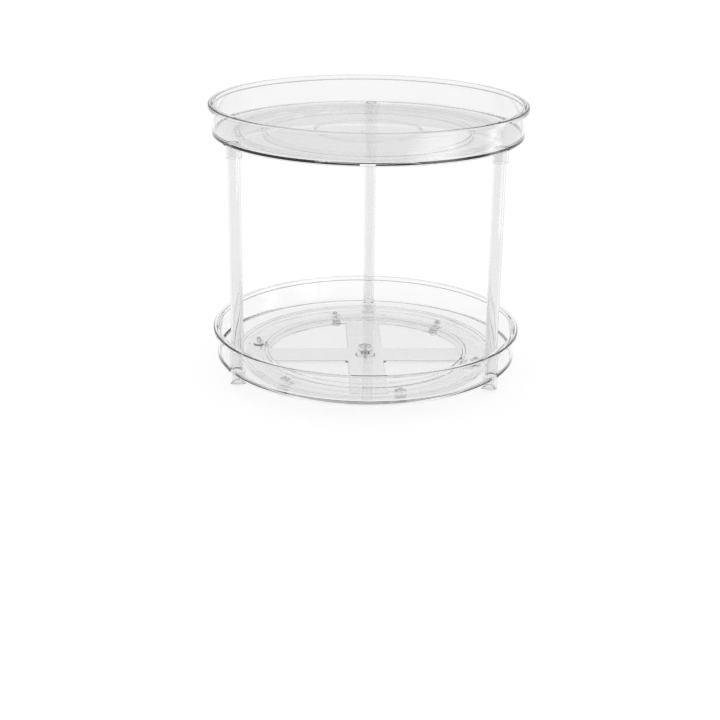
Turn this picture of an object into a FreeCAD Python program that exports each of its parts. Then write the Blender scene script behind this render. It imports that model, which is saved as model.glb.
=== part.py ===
import FreeCAD, Part
import os
import Sketcher
from FreeCAD import Vector

# Two-tier clear turntable tray (lazy susan), in millimetres, +Z up.
# The origin is on the axis of rotation, on the surface that the rubber feet stand on.
# Two moulded trays hang together on three tubes and turn as one on six steel balls, which
# roll in the cups of a low base frame. An expanding rivet keeps the turning half on the base.

DIMENSIONS = (
    # Overall
    ("total_height", 235.0, "supporting surface to the upper rim"),
    ("lower_edge_height", 12.5, "supporting surface to the lower tray's bottom edge"),
    # Both trays
    ("tray_height", 26.3, "bottom edge to rim"),
    ("lip_radius", 135.0, "outside of the rolled lip, half the overall width"),
    ("lip_height", 4.0, "depth of the lip"),
    ("lip_round", 1.6, "rounding of the lip's outer top edge"),
    ("wall_radius", 132.0, "outside of the wall just under the lip"),
    ("wall_draft", 0.15, "how far the wall leans in by its foot"),
    ("wall_thickness", 2.0, "wall"),
    ("skirt_depth", 0.7, "how far the wall reaches below the floor's underside"),
    ("floor_thickness", 1.9, "floor"),
    ("floor_corner", 2.0, "rounding between floor and wall"),
    ("edge_round", 0.6, "rounding of the other long edges"),
    ("race_rib_depth", 3.0, "how far the ball race's ribs reach below the bottom edge"),
    ("inner_rib_inside", 87.2, "rib inside the ball race"),
    ("inner_rib_outside", 90.0, "rib inside the ball race"),
    ("outer_rib_inside", 108.7, "rib outside the ball race"),
    ("outer_rib_outside", 110.5, "rib outside the ball race"),
    ("back_rib_inside", 112.0, "second rib behind the outer one"),
    ("back_rib_outside", 113.7, "second rib behind the outer one"),
    ("centre_ring_inside", 44.2, "low stiffening ring"),
    ("centre_ring_outside", 45.8, "low stiffening ring"),
    ("centre_ring_depth", 1.6, "low stiffening ring, below the floor's underside"),
    ("rib_round", 0.4, "rounding of the ribs' lower edges"),
    ("boss_radius", 6.8, "boss under the middle of the floor"),
    ("boss_depth", 2.4, "boss, below the floor's underside"),
    # Posts and their sockets
    ("post_circle", 124.4, "axis of rotation to each post's axis"),
    ("post_radius", 5.3, "outside of a post"),
    ("post_wall", 1.5, "wall of the post's tube"),
    ("post_chamfer", 0.4, "edges of the post's ends"),
    ("socket_radius", 6.8, "outside of a post socket"),
    ("socket_drop", 10.2, "how far a socket hangs below the tray's bottom edge"),
    ("socket_web", 1.5, "closed end of a lower socket"),
    ("socket_play", 0.05, "radial play of a post in its socket"),
    # Base frame
    ("plate_height", 3.8, "supporting surface to the underside of the plate"),
    ("plate_thickness", 1.8, "plate of the ring and the cross"),
    ("ring_inside", 87.5, "inside of the base ring"),
    ("ring_outside", 107.5, "outside of the base ring"),
    ("arm_width", 31.5, "arm of the cross"),
    ("arm_corner", 2.5, "rounding where two arms meet"),
    ("arm_round", 0.5, "rounding of the arms' upper edges"),
    ("upstand_thickness", 1.4, "low walls on the ring"),
    ("inner_upstand_inside", 91.2, "low wall beside the race's inner rib"),
    ("upstand_top", 10.2, "supporting surface to the top of the low walls"),
    ("cup_radius", 4.9, "outside of a ball cup"),
    ("cup_top", 10.4, "supporting surface to the top of the cups and of the hub"),
    ("hub_foot_radius", 9.2, "hub where it meets the cross"),
    ("hub_top_radius", 5.2, "hub at its top"),
    ("base_turn", 3.4, "degrees that the base stands turned against the posts at rest"),
    ("first_cup_angle", 45.0, "degrees from an arm to the first ball cup"),
    # Balls and feet
    ("ball_circle", 100.0, "axis of rotation to a ball's centre"),
    ("ball_radius", 3.0, "steel ball"),
    ("ball_gap", 0.1, "play above and below a ball"),
    ("cup_play", 0.15, "radial play of a ball in its cup"),
    ("foot_circle", 95.0, "axis of rotation to a foot's centre"),
    ("foot_radius", 4.0, "rubber foot"),
    ("foot_round", 0.8, "rounding of a foot's lower edge"),
    ("foot_recess", 0.6, "how deep a foot sits in the plate"),
    # Pivot
    ("rivet_radius", 3.0, "shank of the pivot rivet"),
    ("rivet_head_radius", 5.2, "head of the pivot rivet"),
    ("rivet_head_thickness", 1.3, "head of the pivot rivet"),
    ("rivet_seat_depth", 1.5, "recess for the head in the lower tray's floor"),
    ("rivet_seat_play", 0.2, "radial play of the head in its recess"),
    ("rivet_barb_radius", 3.4, "barb under the base hub"),
    ("rivet_barb_length", 0.5, "straight part of the barb"),
    ("rivet_barb_play", 0.05, "gap between the barb and the plate above it"),
    ("rivet_tip_radius", 2.4, "lower end of the rivet"),
    ("rivet_tip_height", 1.0, "supporting surface to the rivet's tip"),
    ("rivet_slot", 0.8, "slot that splits the rivet's lower end into legs"),
    ("tray_bore_play", 0.08, "radial play of the lower tray on the rivet"),
    ("hub_bore_play", 0.02, "radial play of the rivet in the base hub"),
    ("core_radius", 1.0, "steel core pin, and the rivet's bore"),
    ("core_top", 11.6, "supporting surface to the core pin's upper end"),
    ("core_bottom", 1.6, "supporting surface to the core pin's lower end"),
    ("core_chamfer", 0.3, "ends of the core pin"),
    ("overcut", 1.0, "how far a cut runs past the material that it goes through"),
)

UPPER_EDGE_HEIGHT = "dims.total_height - dims.tray_height"
FLOOR_TOP = "dims.skirt_depth + dims.floor_thickness"
PLATE_TOP = "dims.plate_height + dims.plate_thickness"
WALL_FOOT_RADIUS = "dims.wall_radius - dims.wall_draft"
BALL_HEIGHT = "dims.lower_edge_height + dims.skirt_depth - dims.ball_gap - dims.ball_radius"
LOWER_FLOOR_TOP = "dims.lower_edge_height + dims.skirt_depth + dims.floor_thickness"

POST_ANGLES = (90, 210, 330)
CUP_COUNT = 6
CUP_STEP = 360 // CUP_COUNT

doc = FreeCAD.newDocument("turntable")
dims = doc.addObject("Spreadsheet::Sheet", "dims")


# ---------------------------------------------------------------- helpers

def fill_sheet():
    for row, (alias, number, note) in enumerate(DIMENSIONS, start=1):
        dims.set(f"A{row}", note)
        dims.set(f"B{row}", str(number))
        dims.setAlias(f"B{row}", alias)
    doc.recompute()


def value(expression):
    """The present value of an expression of the sheet's cells."""
    return float(dims.evalExpression(expression))


def bind(sketch, constraint, expression):
    index = sketch.addConstraint(constraint)
    sketch.setExpression(f"Constraints[{index}]", expression)


def pin_point(sketch, geometry, point, across, up):
    """Ties one point of a sketch to its two expressions, and to an axis where one is zero."""
    if across == "0" and up == "0":
        sketch.addConstraint(Sketcher.Constraint("Coincident", geometry, point, -1, 1))
        return
    if across == "0":
        sketch.addConstraint(Sketcher.Constraint("PointOnObject", geometry, point, -2))
    else:
        bind(sketch, Sketcher.Constraint("DistanceX", -1, 1, geometry, point, value(across)), across)
    if up == "0":
        sketch.addConstraint(Sketcher.Constraint("PointOnObject", geometry, point, -1))
    else:
        bind(sketch, Sketcher.Constraint("DistanceY", -1, 1, geometry, point, value(up)), up)


def new_body(label):
    body = doc.addObject("PartDesign::Body", label)
    body.Label = label
    return body


def new_sketch(body, name, role="XY_Plane", height="0"):
    sketch = body.newObject("Sketcher::SketchObject", name)
    plane = next(f for f in body.Origin.OriginFeatures if f.Role == role)
    sketch.AttachmentSupport = [(plane, "")]
    sketch.MapMode = "FlatFace"
    if height != "0":
        sketch.setExpression("AttachmentOffset.Base.z", height)
    return sketch


def add_circle(sketch, radius, across="0", up="0"):
    centre = Vector(value(across), value(up), 0)
    index = sketch.addGeometry(Part.Circle(centre, Vector(0, 0, 1), value(radius)), False)
    bind(sketch, Sketcher.Constraint("Radius", index, value(radius)), radius)
    pin_point(sketch, index, 3, across, up)


def add_outline(sketch, corners):
    """A closed outline of straight sides through (across, up) pairs of expressions."""
    points = [Vector(value(across), value(up), 0) for across, up in corners]
    count = len(points)
    for i in range(count):
        sketch.addGeometry(Part.LineSegment(points[i], points[(i + 1) % count]), False)
    for i in range(count):
        sketch.addConstraint(Sketcher.Constraint("Coincident", i, 2, (i + 1) % count, 1))
    for i, (across, up) in enumerate(corners):
        pin_point(sketch, i, 1, across, up)


def polar(radius, angle):
    """Expressions of the point at this radius and this angle in degrees."""
    return f"{radius} * cos(({angle}) * 1 deg)", f"{radius} * sin(({angle}) * 1 deg)"


def add_round_of_circles(sketch, radius, circle, angles):
    for angle in angles:
        across, up = polar(circle, angle)
        add_circle(sketch, radius, across, up)


def changed_volume(body, feature, grows):
    """Recomputes, and stops if the feature didn't add or remove material."""
    before = feature.BaseFeature.Shape.Volume if feature.BaseFeature else 0.0
    doc.recompute()
    change = feature.Shape.Volume - before
    if (change <= 0) if grows else (change >= 0):
        raise RuntimeError(f"{feature.Name} in {body.Label} changed the volume by {change:.3f}")
    return feature


def pad(body, sketch, name, length, down=False):
    feature = body.newObject("PartDesign::Pad", name)
    feature.Profile = sketch
    feature.setExpression("Length", length)
    feature.Reversed = down
    return changed_volume(body, feature, grows=True)


def pocket(body, sketch, name, length, up=False):
    feature = body.newObject("PartDesign::Pocket", name)
    feature.Profile = sketch
    feature.setExpression("Length", length)
    feature.Reversed = up
    return changed_volume(body, feature, grows=False)


def revolve(body, sketch, name):
    feature = body.newObject("PartDesign::Revolution", name)
    feature.Profile = sketch
    feature.ReferenceAxis = (sketch, ["V_Axis"])
    feature.Angle = 360
    return changed_volume(body, feature, grows=True)


def turned_edges(shape, rings):
    """Names of the circular edges about Z with these (radius, height) pairs."""
    found = []
    for number, edge in enumerate(shape.Edges, start=1):
        curve = edge.Curve
        if not isinstance(curve, Part.Circle) or Vector(curve.Center.x, curve.Center.y, 0).Length > 1e-6:
            continue
        for radius, height in rings:
            if abs(curve.Radius - value(radius)) < 1e-4 and abs(curve.Center.z - value(height)) < 1e-4:
                found.append(f"Edge{number}")
    if len(found) < len(rings):
        raise RuntimeError(f"found {len(found)} of {len(rings)} edges to round")
    return found


def upright_edges(shape, places):
    """Names of the straight upright edges at these (x, y) places."""
    found = []
    for number, edge in enumerate(shape.Edges, start=1):
        low, high = edge.Vertexes[0].Point, edge.Vertexes[-1].Point
        for x, y in places:
            if all(abs(p.x - x) < 1e-4 and abs(p.y - y) < 1e-4 for p in (low, high)):
                found.append(f"Edge{number}")
    return found


def level_edges(shape, height):
    """Names of the edges that lie wholly at this height."""
    found = []
    for number, edge in enumerate(shape.Edges, start=1):
        if abs(edge.BoundBox.ZMin - value(height)) < 1e-4 and abs(edge.BoundBox.ZMax - value(height)) < 1e-4:
            found.append(f"Edge{number}")
    return found


def fillet(body, name, edges, radius):
    base = body.Tip
    feature = body.newObject("PartDesign::Fillet", name)
    feature.Base = (base, edges)
    feature.setExpression("Radius", radius)
    doc.recompute()
    return feature


def chamfer(body, name, edges, size):
    base = body.Tip
    feature = body.newObject("PartDesign::Chamfer", name)
    feature.Base = (base, edges)
    feature.setExpression("Size", size)
    doc.recompute()
    return feature


def place(piece, x="0", y="0", z="0", turn="0"):
    for axis, expression in (("x", x), ("y", y), ("z", z)):
        if expression != "0":
            piece.setExpression(f"Placement.Base.{axis}", expression)
    if turn != "0":
        piece.Placement.Rotation = FreeCAD.Rotation(Vector(0, 0, 1), value(turn))
        piece.setExpression("Placement.Rotation.Angle", f"({turn}) * 1 deg")


def cup_angle(number):
    """Angle of a ball cup about Z, in the turntable's frame at rest."""
    return f"dims.base_turn + dims.first_cup_angle + {number * CUP_STEP}"


# ---------------------------------------------------------------- trays

def tray_shell(label):
    """Floor, wall and lip in one turned outline, whose bottom edge is at height zero."""
    body = new_body(label)
    sketch = new_sketch(body, label + "_outline", "XZ_Plane")
    inside_foot = f"{WALL_FOOT_RADIUS} - dims.wall_thickness"
    inside_top = "dims.wall_radius - dims.wall_thickness"
    lip_bottom = "dims.tray_height - dims.lip_height"
    add_outline(sketch, (
        ("0", "dims.skirt_depth"),
        (inside_foot, "dims.skirt_depth"),
        (inside_foot, "0"),
        (WALL_FOOT_RADIUS, "0"),
        ("dims.wall_radius", lip_bottom),
        ("dims.lip_radius", lip_bottom),
        ("dims.lip_radius", "dims.tray_height"),
        (inside_top, "dims.tray_height"),
        (inside_foot, FLOOR_TOP),
        ("0", FLOOR_TOP),
    ))
    revolve(body, sketch, label + "_shell")
    lip = turned_edges(body.Shape, [("dims.lip_radius", "dims.tray_height")])
    fillet(body, label + "_lip_round", lip, "dims.lip_round")
    corner = turned_edges(body.Shape, [(inside_foot, FLOOR_TOP)])
    fillet(body, label + "_floor_corner", corner, "dims.floor_corner")
    edges = turned_edges(body.Shape, [
        (inside_top, "dims.tray_height"),
        ("dims.lip_radius", lip_bottom),
        ("dims.wall_radius", lip_bottom),
        (WALL_FOOT_RADIUS, "0"),
    ])
    fillet(body, label + "_edge_round", edges, "dims.edge_round")
    return body


def add_rib(body, rib, depth):
    """A ring under the floor, with its lower edges rounded."""
    label = f"{body.Label}_{rib}"
    inside, outside = f"dims.{rib}_inside", f"dims.{rib}_outside"
    sketch = new_sketch(body, label + "_outline", height="dims.skirt_depth")
    add_circle(sketch, inside)
    add_circle(sketch, outside)
    pad(body, sketch, label, depth, down=True)
    lower = f"dims.skirt_depth - ({depth})"
    edges = turned_edges(body.Shape, [(inside, lower), (outside, lower)])
    fillet(body, label + "_round", edges, "dims.rib_round")


def add_underside(body):
    """The ribs that fence the ball race, and the middle boss."""
    label = body.Label
    race_depth = "dims.skirt_depth + dims.race_rib_depth"
    add_rib(body, "inner_rib", race_depth)
    add_rib(body, "outer_rib", race_depth)
    add_rib(body, "back_rib", "dims.skirt_depth + dims.race_rib_depth / 2")
    sketch = new_sketch(body, label + "_boss_outline", height="dims.skirt_depth")
    add_circle(sketch, "dims.boss_radius")
    pad(body, sketch, label + "_boss", "dims.boss_depth", down=True)


def add_sockets(body):
    """Three sockets that hang below the floor and run into the foot of the wall."""
    sketch = new_sketch(body, body.Label + "_socket_outline", height="dims.skirt_depth")
    add_round_of_circles(sketch, "dims.socket_radius", "dims.post_circle", POST_ANGLES)
    pad(body, sketch, body.Label + "_sockets", "dims.skirt_depth + dims.socket_drop", down=True)


def make_lower_tray():
    """Its sockets are cups open at the floor, and its middle takes the pivot rivet."""
    body = tray_shell("lower_tray")
    add_underside(body)
    add_sockets(body)
    start = f"{FLOOR_TOP} + dims.floor_corner"
    sketch = new_sketch(body, "lower_tray_post_holes", height=start)
    bore = "dims.post_radius + dims.socket_play"
    add_round_of_circles(sketch, bore, "dims.post_circle", POST_ANGLES)
    pocket(body, sketch, "lower_tray_post_bores", f"{start} + dims.socket_drop - dims.socket_web")
    sketch = new_sketch(body, "lower_tray_rivet_seat", height=FLOOR_TOP)
    add_circle(sketch, "dims.rivet_head_radius + dims.rivet_seat_play")
    pocket(body, sketch, "lower_tray_seat", "dims.rivet_seat_depth")
    sketch = new_sketch(body, "lower_tray_rivet_hole", height=FLOOR_TOP)
    add_circle(sketch, "dims.rivet_radius + dims.tray_bore_play")
    pocket(body, sketch, "lower_tray_bore", "dims.floor_thickness + dims.boss_depth + dims.overcut")
    place(body, z="dims.lower_edge_height")
    return body


def make_upper_tray():
    """Its sockets are open below and closed by the floor, which rests on the posts."""
    body = tray_shell("upper_tray")
    add_underside(body)
    add_rib(body, "centre_ring", "dims.centre_ring_depth")
    add_sockets(body)
    sketch = new_sketch(body, "upper_tray_post_holes", height="-dims.socket_drop")
    bore = "dims.post_radius + dims.socket_play"
    add_round_of_circles(sketch, bore, "dims.post_circle", POST_ANGLES)
    depth = "dims.socket_drop + dims.skirt_depth"
    pocket(body, sketch, "upper_tray_post_bores", depth, up=True)
    place(body, z=UPPER_EDGE_HEIGHT)
    return body


def make_post(number, angle):
    """A clear tube from the closed end of a lower socket to the upper floor's underside."""
    label = f"post_{number}"
    body = new_body(label)
    sketch = new_sketch(body, label + "_outline")
    add_circle(sketch, "dims.post_radius")
    add_circle(sketch, "dims.post_radius - dims.post_wall")
    bottom = "dims.lower_edge_height - dims.socket_drop + dims.socket_web"
    length = f"{UPPER_EDGE_HEIGHT} + dims.skirt_depth - ({bottom})"
    pad(body, sketch, label + "_tube", length)
    ends = turned_edges(body.Shape, [("dims.post_radius", "0"), ("dims.post_radius", length)])
    chamfer(body, label + "_chamfer", ends, "dims.post_chamfer")
    x, y = polar("dims.post_circle", angle)
    place(body, x, y, bottom)
    return body


# ---------------------------------------------------------------- base

def add_cross(body):
    half_width = "dims.arm_width / 2"
    reach = "dims.ring_inside + dims.arm_corner"
    for name, half_x, half_y in (("arm_x", reach, half_width), ("arm_y", half_width, reach)):
        sketch = new_sketch(body, name + "_outline", height="dims.plate_height")
        add_outline(sketch, (
            (f"-({half_x})", f"-({half_y})"),
            (half_x, f"-({half_y})"),
            (half_x, half_y),
            (f"-({half_x})", half_y),
        ))
        pad(body, sketch, name, "dims.plate_thickness")


def make_base_frame():
    """A ring on a cross of four arms, with low walls, six ball cups and a tapered hub."""
    body = new_body("base_frame")
    add_cross(body)
    half = value("dims.arm_width") / 2
    corners = [(x, y) for x in (-half, half) for y in (-half, half)]
    fillet(body, "arm_corners", upright_edges(body.Shape, corners), "dims.arm_corner")
    fillet(body, "arm_rounds", level_edges(body.Shape, PLATE_TOP), "dims.arm_round")

    sketch = new_sketch(body, "ring_outline", height="dims.plate_height")
    add_circle(sketch, "dims.ring_inside")
    add_circle(sketch, "dims.ring_outside")
    pad(body, sketch, "ring", "dims.plate_thickness")

    upstands = (
        ("inner_upstand", "dims.inner_upstand_inside"),
        ("outer_upstand", "dims.ring_outside - dims.upstand_thickness"),
    )
    for name, inside in upstands:
        sketch = new_sketch(body, name + "_outline", height=PLATE_TOP)
        add_circle(sketch, inside)
        add_circle(sketch, f"{inside} + dims.upstand_thickness")
        pad(body, sketch, name, f"dims.upstand_top - ({PLATE_TOP})")

    angles = [f"dims.first_cup_angle + {k * CUP_STEP}" for k in range(CUP_COUNT)]
    sketch = new_sketch(body, "cup_outline", height=PLATE_TOP)
    add_round_of_circles(sketch, "dims.cup_radius", "dims.ball_circle", angles)
    pad(body, sketch, "cups", f"dims.cup_top - ({PLATE_TOP})")

    sketch = new_sketch(body, "hub_outline", "XZ_Plane")
    add_outline(sketch, (
        ("0", PLATE_TOP),
        ("dims.hub_foot_radius", PLATE_TOP),
        ("dims.hub_top_radius", "dims.cup_top"),
        ("0", "dims.cup_top"),
    ))
    revolve(body, sketch, "hub")

    sketch = new_sketch(body, "cup_pocket_outline", height="dims.cup_top")
    add_round_of_circles(sketch, "dims.ball_radius + dims.cup_play", "dims.ball_circle", angles)
    pocket_floor = f"({BALL_HEIGHT}) - dims.ball_radius - dims.ball_gap"
    pocket(body, sketch, "cup_pockets", f"dims.cup_top - ({pocket_floor})")

    sketch = new_sketch(body, "foot_recess_outline", height="dims.plate_height")
    add_round_of_circles(sketch, "dims.foot_radius", "dims.foot_circle", angles)
    pocket(body, sketch, "foot_recesses", "dims.foot_recess", up=True)

    sketch = new_sketch(body, "hub_bore_outline", height="dims.cup_top")
    add_circle(sketch, "dims.rivet_radius + dims.hub_bore_play")
    pocket(body, sketch, "hub_bore", "dims.cup_top - dims.plate_height")
    place(body, turn="dims.base_turn")
    return body


def make_foot(number):
    """A round silicone pad, stuck in its recess under a ball cup."""
    label = f"rubber_foot_{number + 1}"
    body = new_body(label)
    sketch = new_sketch(body, label + "_outline")
    add_circle(sketch, "dims.foot_radius")
    pad(body, sketch, label + "_pad", "dims.plate_height + dims.foot_recess")
    edge = turned_edges(body.Shape, [("dims.foot_radius", "0")])
    fillet(body, label + "_round", edge, "dims.foot_round")
    x, y = polar("dims.foot_circle", cup_angle(number))
    place(body, x, y)
    return body


def make_ball(number):
    ball = doc.addObject("Part::Sphere", f"steel_ball_{number + 1}")
    ball.Label = f"steel_ball_{number + 1}"
    ball.setExpression("Radius", "dims.ball_radius")
    x, y = polar("dims.ball_circle", cup_angle(number))
    place(ball, x, y, BALL_HEIGHT)
    return ball


# ---------------------------------------------------------------- pivot

def make_rivet():
    """Head in the tray floor, shank through boss and hub, split barbed end under the hub."""
    body = new_body("pivot_rivet")
    head_bottom = f"{LOWER_FLOOR_TOP} - dims.rivet_head_thickness"
    barb_top = "dims.plate_height - dims.rivet_barb_play"
    sketch = new_sketch(body, "rivet_outline", "XZ_Plane")
    add_outline(sketch, (
        ("0", "dims.rivet_tip_height"),
        ("dims.rivet_tip_radius", "dims.rivet_tip_height"),
        ("dims.rivet_barb_radius", f"{barb_top} - dims.rivet_barb_length"),
        ("dims.rivet_barb_radius", barb_top),
        ("dims.rivet_radius", barb_top),
        ("dims.rivet_radius", head_bottom),
        ("dims.rivet_head_radius", head_bottom),
        ("dims.rivet_head_radius", LOWER_FLOOR_TOP),
        ("0", LOWER_FLOOR_TOP),
    ))
    revolve(body, sketch, "rivet_turned")
    edge = turned_edges(body.Shape, [("dims.rivet_head_radius", LOWER_FLOOR_TOP)])
    fillet(body, "rivet_head_round", edge, "dims.edge_round")
    sketch = new_sketch(body, "rivet_bore_outline", height=LOWER_FLOOR_TOP)
    add_circle(sketch, "dims.core_radius")
    pocket(body, sketch, "rivet_bore", f"{LOWER_FLOOR_TOP} - dims.rivet_tip_height")
    sketch = new_sketch(body, "rivet_slot_outline", height="dims.rivet_tip_height")
    half_slot = "dims.rivet_slot / 2"
    reach = "dims.rivet_barb_radius + dims.overcut"
    add_outline(sketch, (
        (f"-({reach})", f"-({half_slot})"),
        (reach, f"-({half_slot})"),
        (reach, half_slot),
        (f"-({reach})", half_slot),
    ))
    pocket(body, sketch, "rivet_slot", "dims.plate_height", up=True)
    return body


def make_core_pin():
    """Steel pin driven down the rivet's bore, which holds its legs apart."""
    body = new_body("rivet_core_pin")
    sketch = new_sketch(body, "core_outline")
    add_circle(sketch, "dims.core_radius")
    length = "dims.core_top - dims.core_bottom"
    pad(body, sketch, "core", length)
    ends = turned_edges(body.Shape, [("dims.core_radius", "0"), ("dims.core_radius", length)])
    chamfer(body, "core_chamfers", ends, "dims.core_chamfer")
    place(body, z="dims.core_bottom")
    return body


# ---------------------------------------------------------------- assembly

def check(pieces):
    doc.recompute()
    for item in doc.Objects:
        if "Invalid" in item.State or "Error" in item.State:
            raise RuntimeError(f"{item.Label} is in state {item.State}")
    for piece in pieces:
        if piece.Shape.isNull() or not piece.Shape.isValid() or len(piece.Shape.Solids) != 1:
            raise RuntimeError(f"{piece.Label} isn't one valid solid")


def export(pieces):
    os.makedirs("parts", exist_ok=True)
    for piece in pieces:
        piece.Shape.exportStep(f"parts/{piece.Label}.step")


fill_sheet()
pieces = [make_base_frame()]
pieces += [make_foot(number) for number in range(CUP_COUNT)]
pieces += [make_ball(number) for number in range(CUP_COUNT)]
pieces += [make_rivet(), make_core_pin(), make_lower_tray(), make_upper_tray()]
pieces += [make_post(number, angle) for number, angle in enumerate(POST_ANGLES, start=1)]
check(pieces)
export(pieces)

for piece in pieces:
    box = piece.Shape.BoundBox
    print(f"{piece.Label:16s} {piece.Shape.Volume / 1000:8.2f} cm3  z {box.ZMin:7.2f} to {box.ZMax:7.2f}")
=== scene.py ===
"""Looks for the clear two-tier turntable: materials, light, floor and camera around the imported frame.

Metres and degrees throughout, apart from the lens and the sensor, which are in millimetres.
+Z is up along the turntable's axis, and the origin is on the table under it.
"""

import math

import bpy
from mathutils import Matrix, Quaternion, Vector

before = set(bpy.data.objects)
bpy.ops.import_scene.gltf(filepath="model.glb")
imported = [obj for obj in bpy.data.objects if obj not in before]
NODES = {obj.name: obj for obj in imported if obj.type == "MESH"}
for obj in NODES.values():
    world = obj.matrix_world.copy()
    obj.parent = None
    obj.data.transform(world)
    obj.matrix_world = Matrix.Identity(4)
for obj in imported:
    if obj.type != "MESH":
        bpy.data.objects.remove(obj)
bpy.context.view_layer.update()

# ---------------------------------------------------------------- camera
CAMERA_DISTANCE = 1.156        # from the turntable's axis, along the table
CAMERA_HEIGHT = 0.446
CAMERA_TURN = 1.09             # how far round the object the camera stands
CAMERA_DOWN = 21.04            # how far it looks down
CAMERA_ASIDE = -0.23           # how far it looks to the right of the axis
CAMERA_ROLL = 0.72
CAMERA_LENS_MM = 68.66
SENSOR_MM = 36.0

# ---------------------------------------------------------------- studio
FLOOR_HALF = 40.0
FLOOR_DROP = 0.0002            # keeps the floor just clear of the feet
FLOOR_COLOUR = (0.35, 0.35, 0.35, 1.0)
FLOOR_GLOW = 0.84              # the floor is a light table, so that it stays pale under the trays
# radiance of the studio against height above the horizon, as the sine of the elevation
STUDIO_GLOW = (
    (0.0, 1.0), (0.06, 1.0), (0.1, 0.65), (0.3, 0.7), (0.4, 0.8),
    (0.5, 0.7), (0.6, 0.25), (0.88, 0.25), (0.94, 0.9),
)
# low panels that only reflections show: name, azimuth, distance, foot and top heights, width, radiance
SOFTBOXES = (
    ("softbox_right", -42.0, 0.6, 0.0, 0.25, 0.5, 3.2),
    ("softbox_side", 4.0, 0.6, 0.0, 0.25, 0.22, 2.8),
)
PANEL_FADE = ((0.0, 0.0), (0.35, 1.0), (0.65, 1.0), (1.0, 0.0))   # from one side edge to the other

MAX_BOUNCES = 64
GLOSSY_BOUNCES = 12            # stands in for absorption: with more, the trays' dark edges fade
TRANSPARENT_BOUNCES = 32

# ---------------------------------------------------------------- surfaces
# CELLS are noise cells per metre
PLASTIC_IOR = 1.49
TINT_CELLS = 14.0
SMEAR_CELLS = 38.0
SMEAR_STRETCH = (1.0, 1.0, 0.4)
RIPPLE_CELLS = 18.0
RIPPLE_DEPTH = 0.000003

SILICONE_IOR = 1.41
SILICONE_SCATTER = 0.004
CLOUD_CELLS = 400.0
GRAIN_CELLS = 2200.0
GRAIN_DEPTH = 0.00001

STAIN_CELLS = 900.0
SCRATCH_CELLS = 2500.0
SCRATCH_DEPTH = 0.00001
EVENLY = (1.0, 1.0, 1.0)
LENGTHWISE = (1.0, 1.0, 0.05)


def find_node(nodes, kind):
    return next(node for node in nodes if node.type == kind)


def new_material(name):
    """A material of one Principled shader; returns the material, its nodes, its links and the shader."""
    material = bpy.data.materials.new(name)
    material.use_nodes = True
    nodes = material.node_tree.nodes
    links = material.node_tree.links
    return material, nodes, links, find_node(nodes, "BSDF_PRINCIPLED")


def noise(nodes, links, scale, detail, roughness=0.55, stretch=EVENLY):
    """Noise in object space, stretched per axis; scale is in cells per metre."""
    place = nodes.new("ShaderNodeTexCoord")
    mapping = nodes.new("ShaderNodeMapping")
    mapping.inputs["Scale"].default_value = stretch
    texture = nodes.new("ShaderNodeTexNoise")
    texture.inputs["Scale"].default_value = scale
    texture.inputs["Detail"].default_value = detail
    texture.inputs["Roughness"].default_value = roughness
    links.new(place.outputs["Object"], mapping.inputs["Vector"])
    links.new(mapping.outputs["Vector"], texture.inputs["Vector"])
    return texture.outputs["Fac"]


def ramp(nodes, links, source, stops):
    """Maps a 0 to 1 value to colours or greys at the given stops."""
    node = nodes.new("ShaderNodeValToRGB")
    elements = node.color_ramp.elements
    while len(elements) < len(stops):
        elements.new(0.5)
    for element, (position, tone) in zip(elements, stops):
        element.position = position
        element.color = tone if isinstance(tone, tuple) else (tone, tone, tone, 1.0)
    links.new(source, node.inputs["Fac"])
    return node.outputs["Color"]


def bump(nodes, links, shader, height, depth, strength=1.0):
    """Relief of the given depth in metres on the shader's normal."""
    node = nodes.new("ShaderNodeBump")
    node.inputs["Distance"].default_value = depth
    node.inputs["Strength"].default_value = strength
    links.new(height, node.inputs["Height"])
    links.new(node.outputs["Normal"], shader.inputs["Normal"])


def clear_plastic(name, dense, light, smooth, hazy):
    """Moulded clear plastic with a slowly drifting tint, patches of faint haze, and flow ripples."""
    material, nodes, links, shader = new_material(name)
    shader.inputs["IOR"].default_value = PLASTIC_IOR
    shader.inputs["Transmission Weight"].default_value = 1.0
    drift = noise(nodes, links, TINT_CELLS, 2.0)
    links.new(ramp(nodes, links, drift, ((0.3, dense), (0.7, light))), shader.inputs["Base Color"])
    smears = noise(nodes, links, SMEAR_CELLS, 5.0, 0.6, SMEAR_STRETCH)
    links.new(ramp(nodes, links, smears, ((0.45, smooth), (0.75, hazy))), shader.inputs["Roughness"])
    ripple = noise(nodes, links, RIPPLE_CELLS, 1.0, 0.4)
    bump(nodes, links, shader, ripple, RIPPLE_DEPTH)
    return material


def steel(name, tone, smooth, worn, scratch_stretch):
    """Bright steel with fine scratches that break up its reflections."""
    material, nodes, links, shader = new_material(name)
    shader.inputs["Metallic"].default_value = 1.0
    stain = noise(nodes, links, STAIN_CELLS, 3.0)
    darker = tuple(0.8 * c for c in tone[:3]) + (1.0,)
    links.new(ramp(nodes, links, stain, ((0.35, darker), (0.6, tone))), shader.inputs["Base Color"])
    scratches = noise(nodes, links, SCRATCH_CELLS, 4.0, 0.7, scratch_stretch)
    links.new(ramp(nodes, links, scratches, ((0.4, smooth), (0.7, worn))), shader.inputs["Roughness"])
    bump(nodes, links, shader, scratches, SCRATCH_DEPTH, 0.4)
    return material


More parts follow.
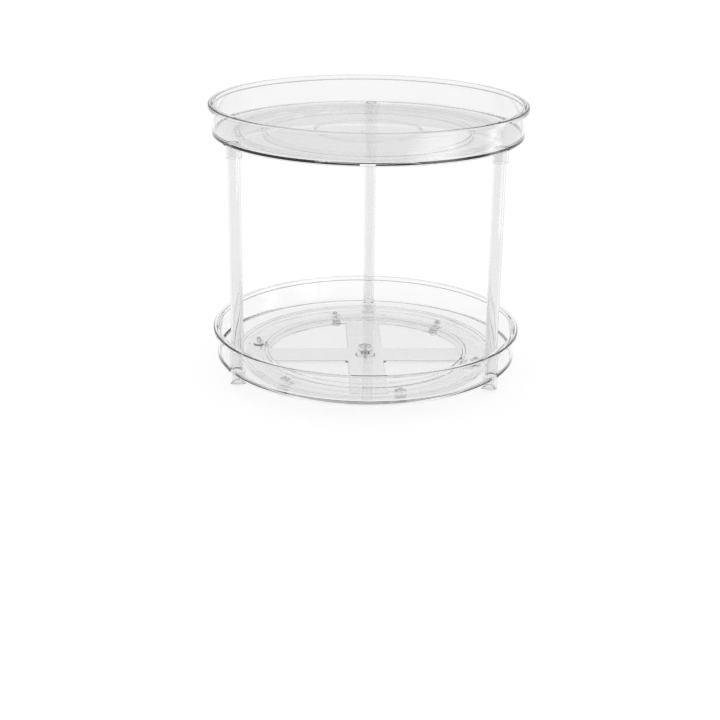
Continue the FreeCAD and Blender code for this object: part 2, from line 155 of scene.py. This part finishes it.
def silicone(name):
    """Milky silicone that light soaks into, with a matt moulded grain."""
    material, nodes, links, shader = new_material(name)
    shader.inputs["IOR"].default_value = SILICONE_IOR
    shader.inputs["Subsurface Weight"].default_value = 1.0
    shader.inputs["Subsurface Radius"].default_value = (1.0, 1.0, 1.0)
    shader.inputs["Subsurface Scale"].default_value = SILICONE_SCATTER
    cloud = noise(nodes, links, CLOUD_CELLS, 3.0)
    tones = ((0.3, (0.975, 0.98, 0.985, 1.0)), (0.7, (0.985, 0.988, 0.99, 1.0)))
    links.new(ramp(nodes, links, cloud, tones), shader.inputs["Base Color"])
    grain = noise(nodes, links, GRAIN_CELLS, 4.0)
    links.new(ramp(nodes, links, grain, ((0.3, 0.3), (0.7, 0.45))), shader.inputs["Roughness"])
    bump(nodes, links, shader, grain, GRAIN_DEPTH, 0.3)
    return material


def dress(material, prefix):
    """Puts a material on every CAD node whose name starts with the prefix."""
    for name, node in NODES.items():
        if name.startswith(prefix):
            for place in node.material_slots:
                place.material = material


def grey(tone):
    """A grey with a trace of blue."""
    return (tone, tone, tone * 1.004, 1.0)


def make_materials():
    dress(clear_plastic("clear_lower_tray", grey(0.965), grey(0.975), 0.0, 0.02), "lower_tray")
    # painted shade: the upper tray is the same clear plastic as the lower tray, given a darker grey to
    # stand in for the shade it shows
    dress(clear_plastic("clear_upper_tray_painted_shade", grey(0.92), grey(0.935), 0.0, 0.02), "upper_tray")
    dress(clear_plastic("clear_post", grey(0.89), grey(0.91), 0.0, 0.008), "post_")
    dress(clear_plastic("clear_base", grey(0.92), grey(0.94), 0.0, 0.03), "base_frame")
    dress(clear_plastic("clear_rivet", grey(0.96), grey(0.98), 0.12, 0.25), "pivot_rivet")
    dress(silicone("milky_silicone"), "rubber_foot")
    dress(steel("ball_steel", (0.86, 0.87, 0.88, 1.0), 0.1, 0.25, EVENLY), "steel_ball")
    dress(steel("wire_steel", (0.5, 0.5, 0.52, 1.0), 0.18, 0.4, LENGTHWISE), "rivet_core_pin")


def make_studio():
    """A glowing studio whose light changes only with height."""
    world = bpy.data.worlds.new("studio")
    bpy.context.scene.world = world
    world.use_nodes = True
    nodes, links = world.node_tree.nodes, world.node_tree.links
    background = find_node(nodes, "BACKGROUND")
    place = nodes.new("ShaderNodeTexCoord")
    split = nodes.new("ShaderNodeSeparateXYZ")
    links.new(place.outputs["Generated"], split.inputs["Vector"])
    links.new(ramp(nodes, links, split.outputs["Z"], STUDIO_GLOW), background.inputs["Color"])


def make_floor():
    bpy.ops.mesh.primitive_plane_add(size=2 * FLOOR_HALF, location=(0.0, 0.0, -FLOOR_DROP))
    floor = bpy.context.object
    floor.name = "floor"
    material, _, _, shader = new_material("pale_floor")
    shader.inputs["Base Color"].default_value = FLOOR_COLOUR
    shader.inputs["Roughness"].default_value = 1.0
    shader.inputs["Specular IOR Level"].default_value = 0.0
    shader.inputs["Emission Color"].default_value = (1.0, 1.0, 1.0, 1.0)
    shader.inputs["Emission Strength"].default_value = FLOOR_GLOW
    floor.data.materials.append(material)


def fade_edges(light):
    """Makes a panel's glow fall off evenly from its middle to its left and right edges."""
    light.use_nodes = True
    nodes, links = light.node_tree.nodes, light.node_tree.links
    emission = find_node(nodes, "EMISSION")
    place = nodes.new("ShaderNodeNewGeometry")
    split = nodes.new("ShaderNodeSeparateXYZ")
    links.new(place.outputs["Parametric"], split.inputs["Vector"])
    links.new(ramp(nodes, links, split.outputs["X"], PANEL_FADE), emission.inputs["Color"])


def make_softbox(name, azimuth, distance, foot, top, width, radiance):
    """An upright light panel that faces the axis; azimuth 0 is the side that +X points to."""
    tall = top - foot
    light = bpy.data.lights.new(name, "AREA")
    light.shape = "RECTANGLE"
    light.size = width
    light.size_y = tall
    light.energy = radiance * math.pi * width * tall
    fade_edges(light)
    panel = bpy.data.objects.new(name, light)
    bpy.context.scene.collection.objects.link(panel)
    angle = math.radians(azimuth)
    panel.location = (distance * math.cos(angle), distance * math.sin(angle), (foot + top) / 2)
    inward = Vector((-math.cos(angle), -math.sin(angle), 0.0))
    panel.rotation_mode = "QUATERNION"
    panel.rotation_quaternion = inward.to_track_quat("-Z", "Y")
    panel.visible_camera = False
    panel.visible_diffuse = False
    panel.visible_transmission = False


def make_camera():
    down = math.radians(CAMERA_DOWN)
    aside = math.radians(CAMERA_ASIDE)
    level = math.cos(down)
    direction = Vector((math.sin(aside) * level, math.cos(aside) * level, -math.sin(down)))
    around = Quaternion((0.0, 0.0, 1.0), math.radians(CAMERA_TURN))
    roll = Quaternion((0.0, 0.0, 1.0), math.radians(CAMERA_ROLL))
    data = bpy.data.cameras.new("camera")
    data.lens = CAMERA_LENS_MM
    data.sensor_width = SENSOR_MM
    camera = bpy.data.objects.new("camera", data)
    bpy.context.scene.collection.objects.link(camera)
    camera.location = around @ Vector((0.0, -CAMERA_DISTANCE, CAMERA_HEIGHT))
    camera.rotation_mode = "QUATERNION"
    camera.rotation_quaternion = around @ direction.to_track_quat("-Z", "Y") @ roll
    bpy.context.scene.camera = camera


def set_light_paths():
    """Enough bounces for a ray to cross every clear wall, and plain display of the result."""
    scene = bpy.context.scene
    scene.cycles.max_bounces = MAX_BOUNCES
    scene.cycles.transmission_bounces = MAX_BOUNCES
    scene.cycles.glossy_bounces = GLOSSY_BOUNCES
    scene.cycles.transparent_max_bounces = TRANSPARENT_BOUNCES
    scene.view_settings.view_transform = "Standard"


make_materials()
make_studio()
make_floor()
for panel in SOFTBOXES:
    make_softbox(*panel)
make_camera()
set_light_paths()
